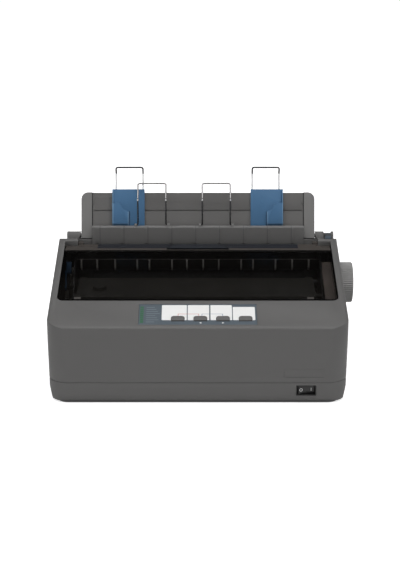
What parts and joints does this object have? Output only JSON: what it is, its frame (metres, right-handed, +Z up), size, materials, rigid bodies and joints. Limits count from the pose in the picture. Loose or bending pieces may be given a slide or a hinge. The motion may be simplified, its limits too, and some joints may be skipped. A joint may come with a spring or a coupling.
{
  "type": "dot matrix printer",
  "caption": "Desktop impact printer: sloping case, see-through lid, folding sheet guide with edge guides, geared platen, tractors and sliding print carriage",
  "frame": {"origin": "on the ground under the centre of the whole printer, knob included", "axes": "+X to the right, +Y to the back, +Z up; the control panel is at the front"},
  "size_m": [0.3658, 0.275, 0.2182],
  "materials": {
    "case_plastic": "fine-textured warm grey ABS",
    "panel_plastic": "fine-textured dark grey plastic",
    "smoke_cover": "smoked see-through plastic",
    "blue_plastic": "satin blue plastic",
    "bright_wire": "bright plated wire",
    "panel_film": "slate blue film",
    "black_plastic": "black plastic",
    "rubber_black": "matt black rubber",
    "steel_sheet": "zinc-plated sheet steel",
    "steel_shaft": "ground steel",
    "white_plastic": "natural acetal",
    "rib_plastic": "light grey plastic",
    "circuit_board": "green circuit board"
  },
  "bodies": {
    "chassis": {"lower_case": "case_plastic", "upper_case": "case_plastic", "rubber_feet": "rubber_black", "case_screws": "steel_shaft", "exit_panel": "panel_plastic", "control_panel": "panel_film", "switch_housing": "black_plastic", "feed_motor": "steel_sheet", "tractor_rod": "steel_shaft", "paper_pan": "panel_plastic", "rib_guide": "rib_plastic", "left_side_frame": "steel_sheet", "right_side_frame": "steel_sheet", "base_frame": "steel_sheet", "carriage_rail": "bright_wire", "carriage_motor": "steel_sheet", "timing_belt": "rubber_black", "ribbon_cartridge": "black_plastic", "main_board": "circuit_board", "power_supply": "circuit_board", "mains_inlet": "black_plastic", "interface_ports": "black_plastic"},
    "cover": {"printer_cover": "smoke_cover"},
    "guide": {"sheet_guide": "case_plastic"},
    "edge_left": {"edge_guide_left": "blue_plastic"},
    "edge_right": {"edge_guide_right": "blue_plastic"},
    "wire_left": {"guide_wire_left": "bright_wire"},
    "wire_right": {"guide_wire_right": "bright_wire"},
    "exit_wire_l": {"exit_wire_left": "bright_wire"},
    "exit_wire_r": {"exit_wire_right": "bright_wire"},
    "key_1": {"button_1": "panel_plastic"},
    "key_2": {"button_2": "panel_plastic"},
    "key_3": {"button_3": "panel_plastic"},
    "key_4": {"button_4": "panel_plastic"},
    "rocker": {"power_rocker": "black_plastic"},
    "platen_roller": {"platen": "rubber_black", "platen_shaft": "steel_shaft", "platen_knob": "case_plastic", "platen_gear": "white_plastic"},
    "reduction": {"reduction_gear": "white_plastic"},
    "pinion": {"motor_pinion": "white_plastic"},
    "transfer": {"transfer_gear": "white_plastic"},
    "tractor_drive": {"tractor_shaft": "steel_shaft"},
    "pressure": {"pressure_rollers": "rubber_black"},
    "exit_roller": {"exit_rollers": "rubber_black"},
    "tractor_l": {"tractor_left": "panel_plastic"},
    "tractor_r": {"tractor_right": "panel_plastic"},
    "sprocket_l": {"sprocket_left": "white_plastic"},
    "sprocket_r": {"sprocket_right": "white_plastic"},
    "lid_l": {"tractor_cover_left": "panel_plastic"},
    "lid_r": {"tractor_cover_right": "panel_plastic"},
    "lock_l": {"lock_lever_left": "blue_plastic"},
    "lock_r": {"lock_lever_right": "blue_plastic"},
    "carriage_unit": {"carriage": "panel_plastic", "print_head": "black_plastic"},
    "drive": {"drive_pulley": "steel_shaft"},
    "idler": {"idler_pulley": "white_plastic"},
    "ribbon_wheel": {"ribbon_knob": "panel_plastic"},
    "thickness": {"thickness_lever": "blue_plastic"},
    "release": {"release_lever": "blue_plastic"}
  },
  "joints": [
    {"name": "cover_hinge", "type": "hinge", "parent": "chassis", "child": "cover", "pos_m": [-0.0089, 0.0605, 0.12953], "axis": [-1, 0, 0], "range_deg": [0, 80]},
    {"name": "sheet_guide_fold", "type": "hinge", "parent": "chassis", "child": "guide", "pos_m": [-0.0089, 0.07487, 0.13579], "axis": [-1, 0, 0], "range_deg": [0, 62]},
    {"name": "edge_guide_left_slide", "type": "slide", "parent": "guide", "child": "edge_left", "axis": [1, 0, 0], "range_m": [-0.022, 0.05]},
    {"name": "edge_guide_right_slide", "type": "slide", "parent": "guide", "child": "edge_right", "axis": [1, 0, 0], "range_m": [-0.05, 0.022]},
    {"name": "guide_wire_left_slide", "type": "slide", "parent": "edge_left", "child": "wire_left", "axis": [0, 0.342, 0.9397], "range_m": [-0.02, 0]},
    {"name": "guide_wire_right_slide", "type": "slide", "parent": "edge_right", "child": "wire_right", "axis": [0, 0.342, 0.9397], "range_m": [-0.02, 0]},
    {"name": "exit_wire_left_fold", "type": "hinge", "parent": "chassis", "child": "exit_wire_l", "pos_m": [-0.0089, 0.069, 0.15143], "axis": [-1, 0, 0], "range_deg": [-90, 0]},
    {"name": "exit_wire_right_fold", "type": "hinge", "parent": "chassis", "child": "exit_wire_r", "pos_m": [-0.0089, 0.069, 0.15143], "axis": [-1, 0, 0], "range_deg": [-90, 0]},
    {"name": "button_1_press", "type": "slide", "parent": "chassis", "child": "key_1", "axis": [0, 0.204, -0.979], "range_m": [0, 0.0008], "stiffness_N_per_m": 250},
    {"name": "button_2_press", "type": "slide", "parent": "chassis", "child": "key_2", "axis": [0, 0.204, -0.979], "range_m": [0, 0.0008], "stiffness_N_per_m": 250},
    {"name": "button_3_press", "type": "slide", "parent": "chassis", "child": "key_3", "axis": [0, 0.204, -0.979], "range_m": [0, 0.0008], "stiffness_N_per_m": 250},
    {"name": "button_4_press", "type": "slide", "parent": "chassis", "child": "key_4", "axis": [0, 0.204, -0.979], "range_m": [0, 0.0008], "stiffness_N_per_m": 250},
    {"name": "power_rocker_tip", "type": "hinge", "parent": "chassis", "child": "rocker", "pos_m": [0.1164, -0.1315, 0.0167], "axis": [0, 0, 1], "range_deg": [-16, 0]},
    {"name": "platen_turn", "type": "hinge", "parent": "chassis", "child": "platen_roller", "pos_m": [-0.0089, 0.0375, 0.08676], "axis": [1, 0, 0], "continuous": true},
    {"name": "reduction_gear_turn", "type": "hinge", "parent": "chassis", "child": "reduction", "pos_m": [-0.0089, 0.025, 0.06511], "axis": [1, 0, 0], "continuous": true},
    {"name": "motor_pinion_turn", "type": "hinge", "parent": "chassis", "child": "pinion", "pos_m": [-0.0089, 0.03687, 0.04612], "axis": [1, 0, 0], "continuous": true},
    {"name": "transfer_gear_turn", "type": "hinge", "parent": "chassis", "child": "transfer", "pos_m": [-0.0089, 0.07243, 0.07805], "axis": [1, 0, 0], "continuous": true},
    {"name": "tractor_shaft_turn", "type": "hinge", "parent": "chassis", "child": "tractor_drive", "pos_m": [-0.0089, 0.10154, 0.0708], "axis": [1, 0, 0], "continuous": true},
    {"name": "pressure_roller_turn", "type": "hinge", "parent": "chassis", "child": "pressure", "pos_m": [-0.0089, 0.04444, 0.06769], "axis": [1, 0, 0], "continuous": true},
    {"name": "exit_roller_turn", "type": "hinge", "parent": "chassis", "child": "exit_roller", "pos_m": [-0.0089, 0.04724, 0.11087], "axis": [1, 0, 0], "continuous": true},
    {"name": "tractor_left_slide", "type": "slide", "parent": "chassis", "child": "tractor_l", "axis": [1, 0, 0], "range_m": [-0.012, 0.03]},
    {"name": "tractor_right_slide", "type": "slide", "parent": "chassis", "child": "tractor_r", "axis": [1, 0, 0], "range_m": [-0.03, 0.012]},
    {"name": "sprocket_left_turn", "type": "hinge", "parent": "tractor_l", "child": "sprocket_l", "pos_m": [-0.1179, 0.10154, 0.0708], "axis": [1, 0, 0], "continuous": true},
    {"name": "tractor_cover_left_hinge", "type": "hinge", "parent": "tractor_l", "child": "lid_l", "pos_m": [-0.1287, 0.10154, 0.0839], "axis": [0, -1, 0], "range_deg": [0, 100]},
    {"name": "lock_lever_left_turn", "type": "hinge", "parent": "tractor_l", "child": "lock_l", "pos_m": [-0.1071, 0.08354, 0.0668], "axis": [1, 0, 0], "range_deg": [0, 35]},
    {"name": "sprocket_right_turn", "type": "hinge", "parent": "tractor_r", "child": "sprocket_r", "pos_m": [0.1001, 0.10154, 0.0708], "axis": [1, 0, 0], "continuous": true},
    {"name": "tractor_cover_right_hinge", "type": "hinge", "parent": "tractor_r", "child": "lid_r", "pos_m": [0.1109, 0.10154, 0.0839], "axis": [0, 1, 0], "range_deg": [0, 100]},
    {"name": "lock_lever_right_turn", "type": "hinge", "parent": "tractor_r", "child": "lock_r", "pos_m": [0.0893, 0.08354, 0.0668], "axis": [1, 0, 0], "range_deg": [0, 35]},
    {"name": "carriage_slide", "type": "slide", "parent": "chassis", "child": "carriage_unit", "axis": [1, 0, 0], "range_m": [-0.104, 0.104]},
    {"name": "drive_pulley_turn", "type": "hinge", "parent": "chassis", "child": "drive", "pos_m": [-0.1389, -0.0275, 0.05406], "axis": [0, 0, 1], "continuous": true},
    {"name": "idler_pulley_turn", "type": "hinge", "parent": "chassis", "child": "idler", "pos_m": [0.1211, -0.0275, 0.05406], "axis": [0, 0, 1], "continuous": true},
    {"name": "ribbon_knob_turn", "type": "hinge", "parent": "chassis", "child": "ribbon_wheel", "pos_m": [-0.1269, -0.0295, 0.10106], "axis": [0, 0, 1], "continuous": true},
    {"name": "thickness_lever_turn", "type": "hinge", "parent": "chassis", "child": "thickness", "pos_m": [-0.1639, 0.0085, 0.08976], "axis": [1, 0, 0], "range_deg": [0, 18]},
    {"name": "release_lever_turn", "type": "hinge", "parent": "chassis", "child": "release", "pos_m": [0.1521, 0.0765, 0.08576], "axis": [-1, 0, 0], "range_deg": [0, 14]}
  ],
  "couplings": [
    {"joint": "reduction_gear_turn", "follows": "platen_turn", "ratio": -2.5714},
    {"joint": "motor_pinion_turn", "follows": "platen_turn", "ratio": 9.4286},
    {"joint": "transfer_gear_turn", "follows": "platen_turn", "ratio": -1},
    {"joint": "tractor_shaft_turn", "follows": "platen_turn", "ratio": 1.5},
    {"joint": "pressure_roller_turn", "follows": "platen_turn", "ratio": -3},
    {"joint": "exit_roller_turn", "follows": "platen_turn", "ratio": -2.25},
    {"joint": "sprocket_left_turn", "follows": "platen_turn", "ratio": 1.5},
    {"joint": "sprocket_right_turn", "follows": "platen_turn", "ratio": 1.5},
    {"joint": "drive_pulley_turn", "follows": "carriage_slide", "rad_per_m": -142.86},
    {"joint": "idler_pulley_turn", "follows": "carriage_slide", "rad_per_m": -142.86}
  ]
}
